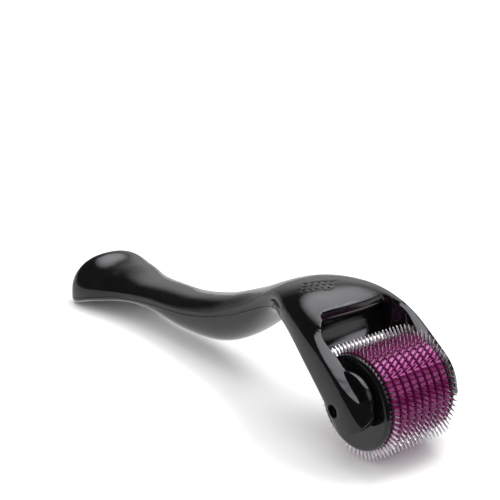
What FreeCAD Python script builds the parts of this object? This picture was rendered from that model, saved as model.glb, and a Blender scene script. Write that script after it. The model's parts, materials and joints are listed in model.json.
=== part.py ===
import FreeCAD, Part
import math
import os

# Derma roller lying on its needle drum and on the end of its handle.
# +X runs from the tail to the head, +Z is up, and the origin is the middle of the
# bounding box at the level of the resting surface. Millimetres.

Vec = FreeCAD.Vector
ALONG_Y = Vec(0, 1, 0)

# ---- driving dimensions: roller -------------------------------------------------
AXLE_X = 56.0            # axle position along the body
TIP_RADIUS = 13.0        # needle tips, and so the height of the axle
NEEDLE_LENGTH = 2.0      # needle standing proud of the spacer rings
DISC_COUNT = 9
NEEDLES_PER_DISC = 60
DISC_PITCH = 2.11
DISC_THICKNESS = 0.26
NEEDLE_ROOT_WIDTH = 0.46
DISC_RIM_DEPTH = 0.6     # steel disc rim below the surface of the spacer rings
HUB_RADIUS = 5.0
BORE_RADIUS = 1.60
CAP_RADIUS = 10.75
CAP_FACE_RADIUS = 9.9
CAP_FACE_Y = 9.95
CAP_SHOULDER_Y = 9.35
WASHER_RADIUS = 3.0
WASHER_GAP = 0.10        # end play on each side of the roller

# ---- driving dimensions: handle, hood and arms ----------------------------------
TAIL_LENGTH = 125.0      # tail end behind the axle
ARM_INNER_Y = 11.8
BOSS_INNER_Y = 11.0
BOSS_RADIUS = 6.4
PANEL_HALF_WIDTH = 10.2
WALL = 1.5
SEAM_GAP = 0.16
TIP_ROUND_RADIUS = 7.0
TIP_ROUND_X = 1.9
TIP_ROUND_Z = 15.5
LIP_X = -11.6
LIP_CORNER = 1.6
LIP_BOW = 0.7
DIMPLE_RADIUS = 0.34
DIMPLE_DEPTH = 0.45
LEAF_SCOOP_RADIUS = 140.0
INNER_FIT = 0.03         # gap between the handle's walls and what they hold
DOWEL_RADIUS = 1.1
BAR_RADIUS = 2.4

# ---- driving dimensions: axle parts ---------------------------------------------
PIN_RADIUS = 1.50
PIN_HALF_LENGTH = 13.4
BUSH_RADIUS = 2.6
BUSH_FLANGE_RADIUS = 3.6
BUSH_FLANGE = 0.5
BUSH_OUTER_Y = 14.2
HOLE_RADIUS = 1.52

SPACER_RADIUS = TIP_RADIUS - NEEDLE_LENGTH
AXLE = Vec(AXLE_X, 0, TIP_RADIUS)

# Stations of the outer body, from the tail to beyond the arm tips. Each is the place
# of its widest line (x from the axle, z), the tilt of its plane in degrees, the half
# width, the height above and the depth below that line, and the two roundness powers.
STATIONS = [
    (-125.0, 3.6, 0, 8.4, 5.2, 2.6, 2.2, 3.0),
    (-124.0, 2.9, 0, 11.0, 8.3, 2.8, 2.3, 4.0),
    (-121.6, 2.5, 0, 12.6, 10.7, 2.6, 2.3, 4.5),
    (-116.5, 3.6, 0, 12.8, 9.0, 2.2, 2.3, 4.5),
    (-110.0, 5.4, 0, 11.2, 6.3, 2.2, 2.4, 4.2),
    (-103.0, 7.0, 0, 9.0, 4.3, 2.3, 2.4, 3.8),
    (-95.5, 8.2, 0, 7.6, 3.5, 2.7, 2.4, 3.0),
    (-87.0, 8.9, 0, 6.9, 3.8, 3.7, 2.4, 2.4),
    (-78.0, 9.1, 0, 6.8, 4.7, 4.7, 2.4, 2.4),
    (-68.0, 10.2, 0, 6.9, 5.8, 5.7, 2.3, 2.3),
    (-58.0, 12.6, 0, 7.0, 6.4, 6.4, 2.3, 2.3),
    (-49.0, 16.4, 0, 7.0, 6.2, 6.2, 2.3, 2.3),
    (-41.0, 20.9, 0, 7.2, 5.2, 5.0, 2.3, 2.3),
    (-34.0, 25.2, 0, 7.9, 4.3, 3.9, 2.3, 2.5),
    (-28.0, 27.4, -3, 9.6, 4.4, 3.0, 2.3, 3.0),
    (-22.5, 27.7, -8, 12.0, 4.9, 3.4, 2.4, 3.4),
    (-17.0, 27.0, -20, 13.8, 5.2, 4.1, 2.7, 3.8),
    (-12.0, 25.3, -34, 14.9, 5.2, 4.9, 3.0, 4.2),
    (-7.2, 22.1, -44, 15.4, 6.5, 5.4, 3.0, 4.5),
    (-2.6, 18.1, -50, 15.6, 7.7, 5.7, 3.0, 4.5),
    (3.0, 11.5, -50, 15.6, 8.0, 5.7, 3.0, 4.5),
    (9.0, 4.3, -50, 15.6, 8.0, 5.7, 3.0, 4.5),
]

# Parting line between the two handle shells, x from the axle and z.
SEAM = [(-126.0, 2.2), (-121.6, 2.1), (-116.5, 3.2), (-110.0, 5.0), (-103.0, 6.6), (-95.5, 7.6),
        (-90.0, 8.4), (-79.0, 9.7), (-67.0, 11.7), (-58.0, 14.3), (-51.0, 16.7), (-41.0, 21.3),
        (-32.5, 25.1), (-28.5, 26.6)]
SHELL_END_X = -27.5

# Curved tray behind the roller: the centre of its front arc (x from the axle, z), the
# arc's radius, and the angles of its ends above and below the level of the centre.
TRAY_CENTRE = (-6.2, 27.6)
TRAY_RADIUS = 8.2
TRAY_THICKNESS = 1.2
TRAY_TOP_ANGLE = 3.5
TRAY_BASE_ANGLE = -52.0
WELL_ROOF_Z = 28.1
WELL_REAR_X = -16.1

# Inner edge of an arm where it leaves the hood's lip, x from the axle and y.
ARM_ROOT = [(-10.0, 10.2), (-8.9, 11.5), (-7.5, 12.3), (-5.6, 12.25), (-3.8, 11.9), (-2.2, 11.8)]


def from_axle(dx, y, z):
    return Vec(AXLE_X + dx, y, z)


def section_wire(station, shrink=0.0):
    """Closed rounded section in a plane that holds the Y axis, starting at its top."""
    dx, z, tilt, half_width, above, below, top_power, base_power = station
    lean = math.radians(-tilt)
    up = Vec(math.sin(lean), 0, math.cos(lean))
    count = 32
    points = []
    for i in range(count):
        t = math.pi / 2 + 2 * math.pi * i / count
        power = top_power if math.sin(t) >= 0 else base_power
        height = (above if math.sin(t) >= 0 else below) - shrink
        across = (half_width - shrink) * math.copysign(abs(math.cos(t)) ** (2 / power), math.cos(t))
        rise = height * math.copysign(abs(math.sin(t)) ** (2 / power), math.sin(t))
        points.append(from_axle(dx, across, z) + up * rise)
    curve = Part.BSplineCurve()
    even_steps = [i / count for i in range(count + 1)]
    curve.interpolate(Points=points, PeriodicFlag=True, Parameters=even_steps)
    return Part.Wire([curve.toShape()])


def loft(stations, shrink=0.0):
    wires = [section_wire(station, shrink) for station in stations]
    return Part.makeLoft(wires, True, False)


def side_prism(points, half_width):
    """Prism across Y from an outline of (x from the axle, z) points."""
    corners = [from_axle(dx, -half_width, z) for dx, z in points]
    wire = Part.makePolygon(corners + [corners[0]])
    return Part.Face(wire).extrude(Vec(0, 2 * half_width, 0))


def below_seam(drop=0.0):
    """Everything under the parting surface, which ends at the back of the hood."""
    curve = Part.BSplineCurve()
    curve.interpolate([from_axle(dx, -40, z - drop) for dx, z in SEAM])
    start, end = curve.value(curve.FirstParameter), curve.value(curve.LastParameter)
    nose = from_axle(SHELL_END_X, -40, 20)
    base_front = from_axle(SHELL_END_X, -40, -5)
    base_back = Vec(start.x, -40, -5)
    edges = [curve.toShape(), Part.makeLine(end, nose), Part.makeLine(nose, base_front),
             Part.makeLine(base_front, base_back), Part.makeLine(base_back, start)]
    return Part.Face(Part.Wire(edges)).extrude(Vec(0, 80, 0))


def cylinder_y(radius, y0, y1, centre=AXLE):
    return Part.makeCylinder(radius, y1 - y0, Vec(centre.x, y0, centre.z), ALONG_Y)


def revolve_y(profile):
    """Solid of revolution about the axle from (radius, y) points."""
    corners = [Vec(AXLE_X + radius, y, TIP_RADIUS) for radius, y in profile]
    face = Part.Face(Part.makePolygon(corners + [corners[0]]))
    return face.revolve(AXLE, ALONG_Y, 360)


def mirrored(shape):
    return shape.mirror(Vec(0, 0, 0), ALONG_Y)


# ---- handle, hood and arms ------------------------------------------------------
def arm_root(side, depth_z):
    """Smooth curve from the lip's corner to the straight inner face of an arm."""
    curve = Part.BSplineCurve()
    curve.interpolate([from_axle(dx, side * y, depth_z) for dx, y in ARM_ROOT])
    return curve


def window_cutter():
    """Opening between the arms in front of the hood's lip, with rounded corners."""
    corner_y, base_z, front = ARM_ROOT[0][1], -10, 30
    inset = LIP_CORNER * 0.29
    edges = []
    lip_ends = []
    for side in (-1, 1):
        root = arm_root(side, base_z)
        start, end = root.value(root.FirstParameter), root.value(root.LastParameter)
        corner = from_axle(LIP_X + inset, side * (corner_y - inset), base_z)
        lip_end = from_axle(LIP_X, side * (corner_y - LIP_CORNER), base_z)
        edges += [Part.Arc(lip_end, corner, start).toShape(), root.toShape(),
                  Part.makeLine(end, from_axle(front, end.y, base_z))]
        lip_ends.append(lip_end)
    edges.append(Part.Arc(lip_ends[0], from_axle(LIP_X + LIP_BOW, 0, base_z), lip_ends[1]).toShape())
    edges.append(Part.makeLine(from_axle(front, -ARM_INNER_Y, base_z), from_axle(front, ARM_INNER_Y, base_z)))
    outline = Part.Wire(Part.sortEdges(edges)[0])
    return Part.Face(outline).extrude(Vec(0, 0, 60))


def well_cutter():
    """Space behind the roller and under the hood, which the tray closes at the back."""
    outline = [(10, WELL_ROOF_Z), (WELL_REAR_X + 0.4, WELL_ROOF_Z), (WELL_REAR_X, WELL_ROOF_Z - 0.4),
               (WELL_REAR_X, 10), (10, 10)]
    return side_prism(outline, PANEL_HALF_WIDTH - 0.1)


def arm_boss():
    """Thick round end on the inner side of the arm at +Y."""
    centre = from_axle(TIP_ROUND_X - 0.3, 0, TIP_ROUND_Z - 0.4)
    return cylinder_y(BOSS_RADIUS, BOSS_INNER_Y, ARM_INNER_Y + 0.5, centre)


def arm_tip_cutter():
    """Removes everything beyond the round ends of the arms."""
    centre = from_axle(TIP_ROUND_X, 0, TIP_ROUND_Z)
    along = Vec(math.cos(math.radians(-50)), 0, math.sin(math.radians(-50)))
    across = Vec(-along.z, 0, along.x)
    far, wide = 60, 40
    corners = [centre + across * wide, centre + across * wide + along * far,
               centre - across * wide + along * far, centre - across * wide]
    corners = [Vec(p.x, -30, p.z) for p in corners]
    slab = Part.Face(Part.makePolygon(corners + [corners[0]])).extrude(Vec(0, 60, 0))
    return slab.cut(cylinder_y(TIP_ROUND_RADIUS, -31, 31, centre))


def leaf_cutter(side):
    """Long shallow scoop, round at both ends, that leaves a leaf-shaped facet on an arm."""
    outward = Vec(0.587, side * 0.05, 0.81)
    outward.normalize()
    across = outward.cross(Vec(0.81, 0, -0.587))
    across.normalize()
    along = across.cross(outward)
    deepest = from_axle(-1.5, side * 15.0, 21.74)
    half_length, deep, high = 6.5, 4.0, 12.0
    centre = deepest + outward * LEAF_SCOOP_RADIUS
    scoop = Part.makeCylinder(LEAF_SCOOP_RADIUS, 2 * half_length, centre - across * half_length, across)
    base = deepest - outward * deep - across * (side * 1.2)
    lower_start, lower_tip, upper_start, upper_tip = 5.5, 9.3, -3.0, -10.2
    right, left = base + across * 5.0, base - across * 5.0
    lower_right, lower_left = right + along * lower_start, left + along * lower_start
    upper_right, upper_left = right + along * upper_start, left + along * upper_start
    edges = [Part.Arc(lower_right, base + along * lower_tip, lower_left).toShape(),
             Part.makeLine(lower_left, upper_left),
             Part.Arc(upper_left, base + along * upper_tip, upper_right).toShape(),
             Part.makeLine(upper_right, lower_right)]
    reach = Part.Face(Part.Wire(edges)).extrude(outward * high)
    return scoop.common(reach)


def dimple_centres():
    """Three slanting rows of five on the crown of the hood, as x from the axle and y."""
    first, along_row, next_row = (-20.9, -6.8), (0.72, 1.30), (-1.10, 1.30)
    return [(first[0] + i * along_row[0] + row * next_row[0], first[1] + i * along_row[1] + row * next_row[1])
            for row in range(3) for i in range(5)]


def make_envelope():
    """Outer body with round arm ends and a small flat under the tail."""
    body = loft(STATIONS)
    under_floor = Part.makeBox(60, 60, 20, from_axle(-TAIL_LENGTH - 5, -30, -20))
    return body.cut(arm_tip_cutter()).cut(under_floor)


def arm_recesses():
    """Two shallow pockets with a rib between them, in the inner face of each arm."""
    tools = []
    for outline in (((-4.6, 23.8), (-1.6, 21.6), (-6.2, 20.4)), ((-0.8, 20.9), (2.2, 17.9), (-4.4, 18.6))):
        corners = [from_axle(dx, ARM_INNER_Y - 1, z) for dx, z in outline]
        face = Part.Face(Part.makePolygon(corners + [corners[0]]))
        tool = face.extrude(Vec(0, 2.2, 0))
        tools += [tool, mirrored(tool)]
    return tools


def make_pits(body):
    """Pit centres lie on the hood's top surface, found from the body itself."""
    pits = []
    for dx, y in dimple_centres():
        line = Part.makeLine(from_axle(dx, y, 26), from_axle(dx, y, 60))
        top = line.common(body).BoundBox.ZMax
        pits.append(Part.makeCylinder(DIMPLE_RADIUS, 3.0, from_axle(dx, y, top - DIMPLE_DEPTH)))
    return Part.makeCompound(pits)


def make_shells():
    envelope = make_envelope()
    hollow = loft(STATIONS[2:16], WALL)
    under = below_seam()
    upper = envelope.cut(under)
    lower = envelope.common(below_seam(SEAM_GAP)).cut(hollow)
    upper = upper.cut(hollow).cut(well_cutter()).cut(window_cutter())
    for side in (-1, 1):
        upper = upper.cut(leaf_cutter(side))
        upper = upper.fuse(arm_boss() if side > 0 else mirrored(arm_boss()))
        bore = cylinder_y(HOLE_RADIUS, 0, 20) if side > 0 else cylinder_y(HOLE_RADIUS, -20, 0)
        seat = cylinder_y(BUSH_RADIUS, 5, BUSH_OUTER_Y)
        seat = seat if side > 0 else mirrored(seat)
        upper = upper.cut(bore).cut(seat)
    upper = upper.cut(make_pits(envelope)).cut(arm_recesses())
    return upper, lower


# ---- panel, pins and axle -------------------------------------------------------
def tray_point(radius, angle, half_width):
    x, z = TRAY_CENTRE
    turn = math.radians(angle)
    return from_axle(x - radius * math.cos(turn), -half_width, z + radius * math.sin(turn))


def make_tray():
    """Curved wall behind the roller, hung under the hood's lip."""
    half_width = PANEL_HALF_WIDTH - 0.2
    back_radius = TRAY_RADIUS + TRAY_THICKNESS
    top_back = math.degrees(math.asin((WELL_ROOF_Z - TRAY_CENTRE[1]) / back_radius))
    middle = (TRAY_TOP_ANGLE + TRAY_BASE_ANGLE) / 2
    front_angles = (TRAY_TOP_ANGLE, middle, TRAY_BASE_ANGLE)
    back_angles = (TRAY_BASE_ANGLE, middle, top_back)
    front = [tray_point(TRAY_RADIUS, angle, half_width) for angle in front_angles]
    back = [tray_point(back_radius, angle, half_width) for angle in back_angles]
    edges = [Part.Arc(*front).toShape(), Part.makeLine(front[2], back[0]), Part.Arc(*back).toShape(),
             Part.makeLine(back[2], front[0])]
    return Part.Face(Part.Wire(edges)).extrude(Vec(0, 2 * half_width, 0))


def inner_space():
    """Room inside the two handle shells, less a fitting gap."""
    return loft(STATIONS[2:16], WALL + INNER_FIT)


def make_dowels():
    """Pins across the hollow that line the two handle shells up."""
    space = inner_space()
    return [Part.makeCylinder(DOWEL_RADIUS, 40, from_axle(dx, 0, 0)).common(space)
            for dx in (-114.0, -88.0, -48.0)]


def make_bar():
    """Round bar lying on the floor of the handle's belly, for balance."""
    bar = Part.makeCylinder(BAR_RADIUS, 22.0, from_axle(-76.0, 0, 8.35), Vec(1, 0, 0.155))
    return bar.common(inner_space())


def make_axle():
    pin = cylinder_y(PIN_RADIUS, -PIN_HALF_LENGTH, PIN_HALF_LENGTH)
    rims = [e for e in pin.Edges if e.Curve.TypeId == "Part::GeomCircle"]
    return pin.makeChamfer(0.3, rims)


def make_bush():
    """Flanged bush in the arm at +Y; the pin passes through it."""
    inner_y = BOSS_INNER_Y - BUSH_FLANGE
    return revolve_y([(HOLE_RADIUS, inner_y), (BUSH_FLANGE_RADIUS, inner_y), (BUSH_FLANGE_RADIUS, BOSS_INNER_Y),
                      (BUSH_RADIUS, BOSS_INNER_Y), (BUSH_RADIUS, BUSH_OUTER_Y), (HOLE_RADIUS, BUSH_OUTER_Y)])


# ---- roller ---------------------------------------------------------------------
def make_core():
    """Tube that carries the discs and rings."""
    tube = cylinder_y(HUB_RADIUS, -CAP_SHOULDER_Y, CAP_SHOULDER_Y)
    return tube.cut(cylinder_y(BORE_RADIUS, -CAP_FACE_Y, CAP_FACE_Y))


def make_cap():
    """End cap at +Y with a rounded rim."""
    inner_y = DISC_PITCH * (DISC_COUNT - 1) / 2 + DISC_THICKNESS / 2
    profile = [(HUB_RADIUS, inner_y), (CAP_RADIUS - 0.25, inner_y), (CAP_RADIUS, inner_y + 0.2),
               (CAP_RADIUS, CAP_FACE_Y), (BORE_RADIUS, CAP_FACE_Y), (BORE_RADIUS, CAP_SHOULDER_Y),
               (HUB_RADIUS, CAP_SHOULDER_Y)]
    cap = revolve_y(profile)
    rims = [e for e in cap.Edges if e.Curve.TypeId == "Part::GeomCircle"
            and abs(e.Curve.Radius - CAP_RADIUS) < 0.01 and abs(e.Curve.Center.y - CAP_FACE_Y) < 0.01]
    return cap.makeFillet(CAP_RADIUS - CAP_FACE_RADIUS, rims)


def make_washer():
    """Plain washer between the cap at +Y and its bush."""
    outer_y = BOSS_INNER_Y - BUSH_FLANGE - WASHER_GAP
    ring = cylinder_y(WASHER_RADIUS, CAP_FACE_Y, outer_y)
    return ring.cut(cylinder_y(BORE_RADIUS, CAP_FACE_Y - 1, outer_y + 1))


def make_disc(y):
    """Thin steel disc with a ring of flat pointed needles; one points straight down."""
    rim = SPACER_RADIUS - DISC_RIM_DEPTH
    step = 2 * math.pi / NEEDLES_PER_DISC
    half_root = math.asin(NEEDLE_ROOT_WIDTH / 2 / rim)
    shoulder = TIP_RADIUS - 1.1
    points = []
    for i in range(NEEDLES_PER_DISC):
        middle = -math.pi / 2 + i * step
        half_shoulder = math.asin(NEEDLE_ROOT_WIDTH / 2 / shoulder)
        for angle, radius in ((middle - half_root, rim), (middle - half_shoulder, shoulder),
                              (middle, TIP_RADIUS), (middle + half_shoulder, shoulder),
                              (middle + half_root, rim)):
            x, z = radius * math.cos(angle), radius * math.sin(angle)
            points.append(Vec(AXLE_X + x, y - DISC_THICKNESS / 2, TIP_RADIUS + z))
    outline = Part.makePolygon(points + [points[0]])
    hole = Part.Wire([Part.makeCircle(HUB_RADIUS, Vec(AXLE_X, y - DISC_THICKNESS / 2, TIP_RADIUS), ALONG_Y)])
    face = Part.Face(outline).cut(Part.Face(hole))
    return face.extrude(Vec(0, DISC_THICKNESS, 0))


def make_ring(y):
    """Spacer ring between two needle discs, with rounded rim edges."""
    half = (DISC_PITCH - DISC_THICKNESS) / 2
    edge = 0.25
    return revolve_y([(HUB_RADIUS, y - half), (SPACER_RADIUS - edge, y - half), (SPACER_RADIUS, y - half + edge),
                      (SPACER_RADIUS, y + half - edge), (SPACER_RADIUS - edge, y + half), (HUB_RADIUS, y + half)])


def make_roller():
    middle = (DISC_COUNT - 1) / 2
    parts = {"roller_core": make_core()}
    for i in range(DISC_COUNT):
        parts["needle_disc_%d" % (i + 1)] = make_disc((i - middle) * DISC_PITCH)
    for i in range(DISC_COUNT - 1):
        parts["spacer_ring_%d" % (i + 1)] = make_ring((i - middle + 0.5) * DISC_PITCH)
    return parts


def biggest(shape):
    return max(shape.Solids, key=lambda solid: solid.Volume)


def save(name, shape):
    solids = shape.Solids
    result = solids[0] if len(solids) == 1 else Part.makeCompound(solids)
    result.exportStep("parts/%s.step" % name)
    print(name, len(solids), round(result.Volume, 1), result.isValid())


def main():
    os.makedirs("parts", exist_ok=True)
    upper, lower = make_shells()
    tray, dowels, bar = make_tray(), make_dowels(), make_bar()
    upper, lower = biggest(upper), biggest(lower)
    inner = dowels + [bar]
    save("upper_shell", biggest(upper.cut(inner)))
    save("lower_shell", biggest(lower.cut(inner)))
    save("hood_tray", tray)
    save("locating_dowels", Part.makeCompound(dowels))
    save("balance_bar", bar)
    save("axle_pin", make_axle())
    save("right_bush", make_bush())
    save("left_bush", mirrored(make_bush()))
    for side, mirror in (("right", False), ("left", True)):
        cap, washer = make_cap(), make_washer()
        save(side + "_end_cap", mirrored(cap) if mirror else cap)
        save(side + "_washer", mirrored(washer) if mirror else washer)
    for name, shape in make_roller().items():
        save(name, shape)


main()
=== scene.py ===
import json
import math

import bpy
from mathutils import Matrix, Vector


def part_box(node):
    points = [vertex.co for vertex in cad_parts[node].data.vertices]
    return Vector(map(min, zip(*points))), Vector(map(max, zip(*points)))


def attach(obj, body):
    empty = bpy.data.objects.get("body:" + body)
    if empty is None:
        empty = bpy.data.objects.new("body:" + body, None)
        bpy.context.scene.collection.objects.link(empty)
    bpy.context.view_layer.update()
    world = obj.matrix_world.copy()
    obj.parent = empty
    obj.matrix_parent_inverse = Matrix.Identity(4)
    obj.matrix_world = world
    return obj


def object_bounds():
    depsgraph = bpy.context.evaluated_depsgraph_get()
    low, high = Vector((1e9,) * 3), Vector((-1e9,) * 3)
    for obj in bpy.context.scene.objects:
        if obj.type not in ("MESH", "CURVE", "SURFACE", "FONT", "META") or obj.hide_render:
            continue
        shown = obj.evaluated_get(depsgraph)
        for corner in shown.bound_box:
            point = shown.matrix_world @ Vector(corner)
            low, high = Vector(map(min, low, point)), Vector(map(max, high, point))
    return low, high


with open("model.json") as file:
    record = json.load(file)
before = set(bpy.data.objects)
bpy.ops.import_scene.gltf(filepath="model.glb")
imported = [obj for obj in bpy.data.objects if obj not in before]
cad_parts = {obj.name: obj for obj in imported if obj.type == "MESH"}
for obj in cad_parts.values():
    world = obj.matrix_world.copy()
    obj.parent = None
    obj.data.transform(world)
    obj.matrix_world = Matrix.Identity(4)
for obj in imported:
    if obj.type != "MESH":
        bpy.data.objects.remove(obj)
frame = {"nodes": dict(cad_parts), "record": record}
cad_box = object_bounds()
nodes = frame["nodes"]
scene = bpy.context.scene
scene.view_settings.view_transform = "Standard"
scene.view_settings.look = "None"

MM = 0.001

# ---------------------------------------------------------------- the camera
CAMERA_AZIMUTH = 53.86
CAMERA_ELEVATION = 18.69
CAMERA_ROLL = -1.06
CAMERA_DISTANCE = 0.290
CAMERA_TARGET = Vector((0.00611, 0.0, 0.03255))
CAMERA_LENS = 85.1
SENSOR_WIDTH = 36.0
CLIP_START = 0.01
CLIP_END = 20.0


def back_vector(azimuth, elevation):
    """Unit vector towards an azimuth, counted from -Y towards +X, and an elevation in degrees."""
    a = math.radians(azimuth)
    e = math.radians(elevation)
    return Vector((math.sin(a) * math.cos(e), -math.cos(a) * math.cos(e), math.sin(e)))


camera_back = back_vector(CAMERA_AZIMUTH, CAMERA_ELEVATION)
camera = bpy.data.objects.new("camera", bpy.data.cameras.new("camera"))
scene.collection.objects.link(camera)
camera.data.lens = CAMERA_LENS
camera.data.sensor_width = SENSOR_WIDTH
camera.data.clip_start = CLIP_START
camera.data.clip_end = CLIP_END
look = (-camera_back).to_track_quat("-Z", "Y").to_matrix().to_4x4()
roll = Matrix.Rotation(math.radians(CAMERA_ROLL), 4, "Z")
camera_place = CAMERA_TARGET + camera_back * CAMERA_DISTANCE
camera.matrix_world = Matrix.Translation(camera_place) @ look @ roll
scene.camera = camera


# ---------------------------------------------------------------- materials
class Graph:
    """A material's node tree with short calls for the nodes used here."""

    def __init__(self, name):
        self.material = bpy.data.materials.new(name)
        self.material.use_nodes = True
        self.tree = self.material.node_tree
        self.shader = self.tree.nodes["Principled BSDF"]
        self.coords = self.tree.nodes.new("ShaderNodeTexCoord").outputs["Object"]

    def link(self, source, target):
        self.tree.links.new(source, target)

    def set(self, **values):
        for name, value in values.items():
            self.shader.inputs[name.replace("_", " ")].default_value = value

    def noise(self, scale, detail=3.0, roughness=0.55, distortion=0.0, stretch=None):
        node = self.tree.nodes.new("ShaderNodeTexNoise")
        node.inputs["Scale"].default_value = scale
        node.inputs["Detail"].default_value = detail
        node.inputs["Roughness"].default_value = roughness
        node.inputs["Distortion"].default_value = distortion
        source = self.coords
        if stretch:
            mapping = self.tree.nodes.new("ShaderNodeMapping")
            mapping.inputs["Scale"].default_value = stretch
            self.link(self.coords, mapping.inputs["Vector"])
            source = mapping.outputs["Vector"]
        self.link(source, node.inputs["Vector"])
        return node.outputs["Fac"]

    def ramp(self, factor, stops):
        node = self.tree.nodes.new("ShaderNodeValToRGB")
        elements = node.color_ramp.elements
        while len(elements) < len(stops):
            elements.new(0.5)
        for element, (place, colour) in zip(elements, stops):
            element.position = place
            element.color = (*colour, 1.0)
        self.link(factor, node.inputs["Fac"])
        return node.outputs["Color"]

    def spread(self, factor, low, high, start=0.3, end=0.7):
        node = self.tree.nodes.new("ShaderNodeMapRange")
        node.inputs["From Min"].default_value = start
        node.inputs["From Max"].default_value = end
        node.inputs["To Min"].default_value = low
        node.inputs["To Max"].default_value = high
        self.link(factor, node.inputs["Value"])
        return node.outputs["Result"]

    def bump(self, height, strength, distance, below=None):
        node = self.tree.nodes.new("ShaderNodeBump")
        node.inputs["Strength"].default_value = strength
        node.inputs["Distance"].default_value = distance
        self.link(height, node.inputs["Height"])
        if below is not None:
            self.link(below, node.inputs["Normal"])
        return node.outputs["Normal"]

    def base_colour(self, colour):
        self.link(colour, self.shader.inputs["Base Color"])

    def roughness(self, value):
        self.link(value, self.shader.inputs["Roughness"])

    def normal(self, value):
        self.link(value, self.shader.inputs["Normal"])


def gloss_black():
    """Injection-moulded black: a faint cloudy tone, slight smears and a little waviness."""
    g = Graph("gloss_black")
    g.set(IOR=1.53)
    cloud = g.noise(90.0, detail=4.0)
    smear = g.noise(420.0, detail=5.0, distortion=0.6, stretch=(0.35, 1.0, 1.0))
    shades = [(0.35, (0.0030, 0.0030, 0.0034)), (0.7, (0.0056, 0.0055, 0.0062))]
    g.base_colour(g.ramp(cloud, shades))
    g.roughness(g.spread(smear, 0.045, 0.11))
    waves = g.bump(g.noise(160.0, detail=1.0), 0.10, 0.0004)
    g.normal(g.bump(g.noise(2600.0, detail=2.0), 0.05, 0.00006, waves))
    return g.material


def gloss_ring():
    """Clear magenta plastic of the spacer rings, whose highlights keep its tint."""
    g = Graph("gloss_ring")
    g.set(IOR=2.15, Specular_Tint=(1.0, 0.30, 0.78, 1.0))
    cloud = g.noise(260.0, detail=4.0)
    shades = [(0.3, (0.080, 0.0020, 0.034)), (0.7, (0.132, 0.0040, 0.058))]
    g.base_colour(g.ramp(cloud, shades))
    g.roughness(g.spread(g.noise(900.0), 0.08, 0.18))
    g.normal(g.bump(g.noise(700.0, detail=2.0), 0.15, 0.00012))
    return g.material


def satin_core():
    g = Graph("satin_core")
    shades = [(0.3, (0.22, 0.015, 0.13)), (0.7, (0.30, 0.02, 0.18))]
    g.base_colour(g.ramp(g.noise(300.0), shades))
    g.roughness(g.spread(g.noise(700.0), 0.30, 0.45))
    g.normal(g.bump(g.noise(1500.0), 0.15, 0.0001))
    return g.material


def satin_bush():
    g = Graph("satin_bush")
    shades = [(0.3, (0.008, 0.008, 0.009)), (0.7, (0.016, 0.016, 0.018))]
    g.base_colour(g.ramp(g.noise(400.0), shades))
    g.roughness(g.spread(g.noise(900.0), 0.28, 0.42))
    g.normal(g.bump(g.noise(2400.0), 0.20, 0.00008))
    return g.material


def etched_steel():
    g = Graph("etched_steel")
    g.set(Metallic=1.0)
    shades = [(0.3, (0.50, 0.46, 0.49)), (0.7, (0.72, 0.68, 0.71))]
    g.base_colour(g.ramp(g.noise(1200.0), shades))
    g.roughness(g.spread(g.noise(2600.0), 0.14, 0.30))
    g.normal(g.bump(g.noise(5200.0), 0.15, 0.00004))
    return g.material


def turned_steel():
    g = Graph("turned_steel")
    g.set(Metallic=1.0)
    shades = [(0.3, (0.42, 0.42, 0.43)), (0.7, (0.56, 0.56, 0.57))]
    g.base_colour(g.ramp(g.noise(700.0), shades))
    g.roughness(g.spread(g.noise(1800.0, stretch=(0.2, 3.0, 0.2)), 0.18, 0.34))
    g.normal(g.bump(g.noise(900.0, stretch=(0.2, 8.0, 0.2)), 0.25, 0.00005))
    return g.material


MATERIALS = {
    "black_plastic": gloss_black(),
    "ring_plastic": gloss_ring(),
    "core_plastic": satin_core(),
    "bush_plastic": satin_bush(),
    "needle_steel": etched_steel(),
    "pin_steel": turned_steel(),
}


def paint(obj, material):
    obj.data.materials.clear()
    obj.data.materials.append(material)


for part in frame["record"]["subparts"]:
    paint(nodes[part["node"]], MATERIALS[part["material_slot"]])


# ---------------------------------------------------------------- rounded edges
JOIN_DISTANCE = 0.002 * MM
SHARP_ANGLE = 38.0         # an edge that turns by more than this is rounded
EDGE_WIDTHS = {"upper_shell": 0.14 * MM, "hood_tray": 0.10 * MM}


def round_edges(node, width):
    """Joins the CAD mesh across its edges and rounds the sharp ones, as a mould leaves them."""
    weld = nodes[node].modifiers.new("join", "WELD")
    weld.merge_threshold = JOIN_DISTANCE
    bevel = nodes[node].modifiers.new("round", "BEVEL")
    bevel.limit_method = "ANGLE"
    bevel.angle_limit = math.radians(SHARP_ANGLE)
    bevel.width = width
    bevel.segments = 3
    bevel.harden_normals = True
    bevel.use_clamp_overlap = True


# ---------------------------------------------------------------- beads on the hood's lip
shell = nodes["upper_shell"]
tray_low, tray_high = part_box("hood_tray")
half_opening = (tray_high.y - tray_low.y) / 2

PROBE_HEIGHT = 0.060       # rays go down from here, well above the hood
PROBE_STEP = 0.05 * MM
PROBE_COUNT = 160
LIP_DROP = 0.2 * MM        # ground this far under the tray's top is beyond the lip
DOWN = Vector((0, 0, -1))
LIP_BEAD_RADIUS = 0.28 * MM
RIM_BEAD_RADIUS = 0.36 * MM
BEAD_POINTS = 19
BEAD_END_GAP = 1.55 * MM   # from a bead's end to the side of the opening
BEAD_TAPER = 0.75          # share of its radius that a bead loses at its ends
BEAD_FACETS = 10


def lip_point(y):
    """Place of the hood's front edge at y: the last point forward that has the hood above it."""
    edge = None
    for i in range(PROBE_COUNT):
        place = Vector((tray_low.x + i * PROBE_STEP, y, PROBE_HEIGHT))
        found, where, normal, face = shell.ray_cast(place, DOWN)
        if not found or where.z < tray_high.z - LIP_DROP:
            break
        edge = where.copy()
    return edge


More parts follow.
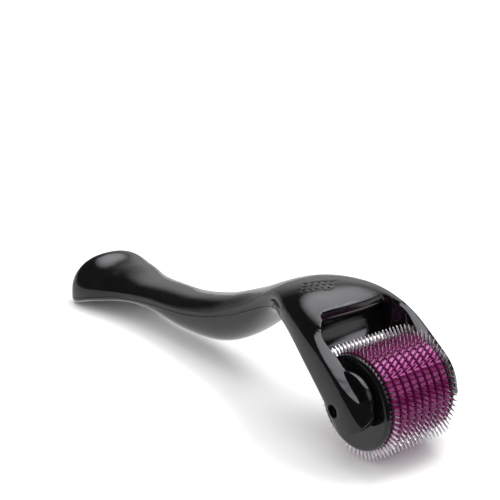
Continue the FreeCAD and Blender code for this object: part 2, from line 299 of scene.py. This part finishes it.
def bead(name, points, radii, material):
    """Smooth round bead along points, with its own radius at each."""
    curve = bpy.data.curves.new(name, "CURVE")
    curve.dimensions = "3D"
    curve.resolution_u = 8
    curve.bevel_depth = 1.0
    curve.bevel_resolution = BEAD_FACETS
    curve.use_fill_caps = True
    spline = curve.splines.new("NURBS")
    spline.points.add(len(points) - 1)
    for target, place, radius in zip(spline.points, points, radii):
        target.co = (*place, 1.0)
        target.radius = radius
    spline.order_u = 4
    spline.use_endpoint_u = True
    rough = bpy.data.objects.new(name + "_path", curve)
    scene.collection.objects.link(rough)
    bpy.context.view_layer.update()
    depsgraph = bpy.context.evaluated_depsgraph_get()
    mesh = bpy.data.meshes.new_from_object(rough.evaluated_get(depsgraph))
    bpy.data.objects.remove(rough)
    for polygon in mesh.polygons:
        polygon.use_smooth = True
    piece = bpy.data.objects.new(name, mesh)
    scene.collection.objects.link(piece)
    paint(piece, MATERIALS[material])
    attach(piece, "handle")
    return piece


lip_line = []
rim_line = []
lip_radii = []
rim_radii = []
for i in range(BEAD_POINTS):
    across = -1 + 2 * i / (BEAD_POINTS - 1)
    edge = lip_point(across * (half_opening - BEAD_END_GAP))
    taper = 1 - BEAD_TAPER * across ** 6
    lip_line.append((edge.x - 0.02 * MM, edge.y, edge.z - 0.12 * MM))
    lip_radii.append(LIP_BEAD_RADIUS * taper)
    rim_line.append((edge.x - 0.10 * MM, edge.y, tray_high.z + 0.28 * MM))
    rim_radii.append(RIM_BEAD_RADIUS * taper)
for node, width in EDGE_WIDTHS.items():
    round_edges(node, width)
bead("hood_lip_bead", lip_line, lip_radii, "black_plastic")
bead("tray_rim_bead", rim_line, rim_radii, "black_plastic")

# ---------------------------------------------------------------- the studio
FLOOR_REACH = 3.0
TABLE_FRONT = 0.085        # how far the reflected table top reaches towards the camera
SHEET_DROP = 0.02 * MM     # the sheets lie this far under the lowest point


def floor_sheet(name, corners, material):
    mesh = bpy.data.meshes.new(name)
    mesh.from_pydata([(x, y, 0.0) for x, y in corners], [], [(0, 1, 2, 3)])
    sheet = bpy.data.objects.new(name, mesh)
    scene.collection.objects.link(sheet)
    sheet.location.z = cad_box[0].z - SHEET_DROP
    paint(sheet, material)
    return sheet


def pale_floor():
    g = Graph("pale_floor")
    shades = [(0.3, (0.84, 0.835, 0.84)), (0.7, (0.86, 0.855, 0.86))]
    g.base_colour(g.ramp(g.noise(30.0), shades))
    g.set(Roughness=0.55)
    return g.material


paper = pale_floor()
level_back = Vector((camera_back.x, camera_back.y)).normalized()
sideways = Vector((-level_back.y, level_back.x))
floor_corners = [FLOOR_REACH * (forward * level_back + side * sideways) for forward, side in
                 ((-1, -1), (1, -1), (1, 1), (-1, 1))]
floor = floor_sheet("floor", floor_corners, paper)
table_corners = [forward * level_back + side * FLOOR_REACH * sideways for forward, side in
                 ((-FLOOR_REACH, -1), (TABLE_FRONT, -1), (TABLE_FRONT, 1), (-FLOOR_REACH, 1))]
table = floor_sheet("table_top", table_corners, paper)
# The camera and the lamps see the whole floor. Reflections see the table top alone.
floor.visible_glossy = False
table.visible_camera = False
table.visible_diffuse = False
table.visible_shadow = False


def softbox(name, size, place, power):
    """Square lamp aimed at the origin, which reflections don't show."""
    data = bpy.data.lights.new(name, "AREA")
    data.shape = "RECTANGLE"
    data.size = size
    data.size_y = size
    data.energy = power
    lamp = bpy.data.objects.new(name, data)
    scene.collection.objects.link(lamp)
    lamp.location = place
    lamp.rotation_mode = "QUATERNION"
    lamp.rotation_quaternion = (-Vector(place)).to_track_quat("-Z", "Y")
    lamp.visible_glossy = False


softbox("key_softbox", 0.42, (0.07, 0.42, 0.78), 4.4)
softbox("top_softbox", 0.70, (-0.16, 0.06, 0.90), 2.6)

# What glossy surfaces see: a dark studio on the camera's side, a pale sweep behind
# the roller, and three soft bright patches. Each patch is (azimuth, elevation, inner
# and outer radius, all in degrees, then radiance and colour).
SOFTBOX_PATCHES = [
    (-140.0, 56.0, 4.0, 28.0, 3.1, (0.97, 0.97, 1.0)),
    (163.0, 53.0, 13.0, 24.0, 3.4, (0.96, 0.94, 1.0)),
    (125.0, 24.0, 6.0, 22.0, 1.0, (1.0, 1.0, 1.0)),
]
SWEEP_LEVEL = 1.0
DARK_LEVEL = 0.025
SWEEP_AZIMUTH = -145.0
LEFT_AZIMUTH = -85.0
LEFT_LEVEL = 0.5
AMBIENT_LEVEL = 1.18       # what matt surfaces and the camera see
WHITE = (1.0, 1.0, 1.0)

world = bpy.data.worlds.new("studio")
scene.world = world
world.use_nodes = True
tree = world.node_tree
background = tree.nodes["Background"]
output = tree.nodes["World Output"]
coords = tree.nodes.new("ShaderNodeTexCoord").outputs["Generated"]


def facing(direction):
    """Dot product of the looking direction and a given one."""
    node = tree.nodes.new("ShaderNodeVectorMath")
    node.operation = "DOT_PRODUCT"
    tree.links.new(coords, node.inputs[0])
    node.inputs[1].default_value = direction
    return node.outputs["Value"]


def fade(value, start, end, low, high):
    """Smooth step from low, where value is start, to high, where it is end."""
    node = tree.nodes.new("ShaderNodeMapRange")
    node.interpolation_type = "SMOOTHSTEP"
    tree.links.new(value, node.inputs["Value"])
    for name, number in (("From Min", start), ("From Max", end), ("To Min", low), ("To Max", high)):
        node.inputs[name].default_value = number
    return node.outputs["Result"]


def combine(operation, first, second):
    node = tree.nodes.new("ShaderNodeMath")
    node.operation = operation
    tree.links.new(first, node.inputs[0])
    tree.links.new(second, node.inputs[1])
    return node.outputs["Value"]


def glow(level, colour):
    """Light of one colour, as strong as the level socket says."""
    node = tree.nodes.new("ShaderNodeBackground")
    node.inputs["Color"].default_value = (*colour, 1.0)
    tree.links.new(level, node.inputs["Strength"])
    return node.outputs["Background"]


def add_light(first, second):
    node = tree.nodes.new("ShaderNodeAddShader")
    tree.links.new(first, node.inputs[0])
    tree.links.new(second, node.inputs[1])
    return node.outputs["Shader"]


rear = back_vector(SWEEP_AZIMUTH, 0.0)
around = fade(facing((rear.x, rear.y, -0.35)), 0.45, 0.95, DARK_LEVEL, SWEEP_LEVEL)
overhead = fade(facing((0, 0, 1)), 0.50, 0.80, 1.0, 0.15)
left_side = back_vector(LEFT_AZIMUTH, 0.0)
low_left = fade(facing((left_side.x, left_side.y, -2.2)), 0.35, 1.0, 0.0, LEFT_LEVEL)
horizon = fade(facing((0, 0, 1)), -0.05, 0.45, 0.42, 1.0)
sweep = combine("MULTIPLY", combine("MULTIPLY", around, overhead), horizon)
glossy = glow(combine("MAXIMUM", sweep, low_left), WHITE)
for azimuth, elevation, inner, outer, radiance, colour in SOFTBOX_PATCHES:
    near = facing(back_vector(azimuth, elevation))
    inner_cosine = math.cos(math.radians(inner))
    outer_cosine = math.cos(math.radians(outer))
    level = fade(near, outer_cosine, inner_cosine, 0.0, radiance)
    glossy = add_light(glossy, glow(level, colour))

background.inputs["Color"].default_value = (*WHITE, 1.0)
background.inputs["Strength"].default_value = AMBIENT_LEVEL
path = tree.nodes.new("ShaderNodeLightPath")
mix = tree.nodes.new("ShaderNodeMixShader")
tree.links.new(path.outputs["Is Glossy Ray"], mix.inputs["Fac"])
tree.links.new(background.outputs["Background"], mix.inputs[1])
tree.links.new(glossy, mix.inputs[2])
tree.links.new(mix.outputs["Shader"], output.inputs["Surface"])
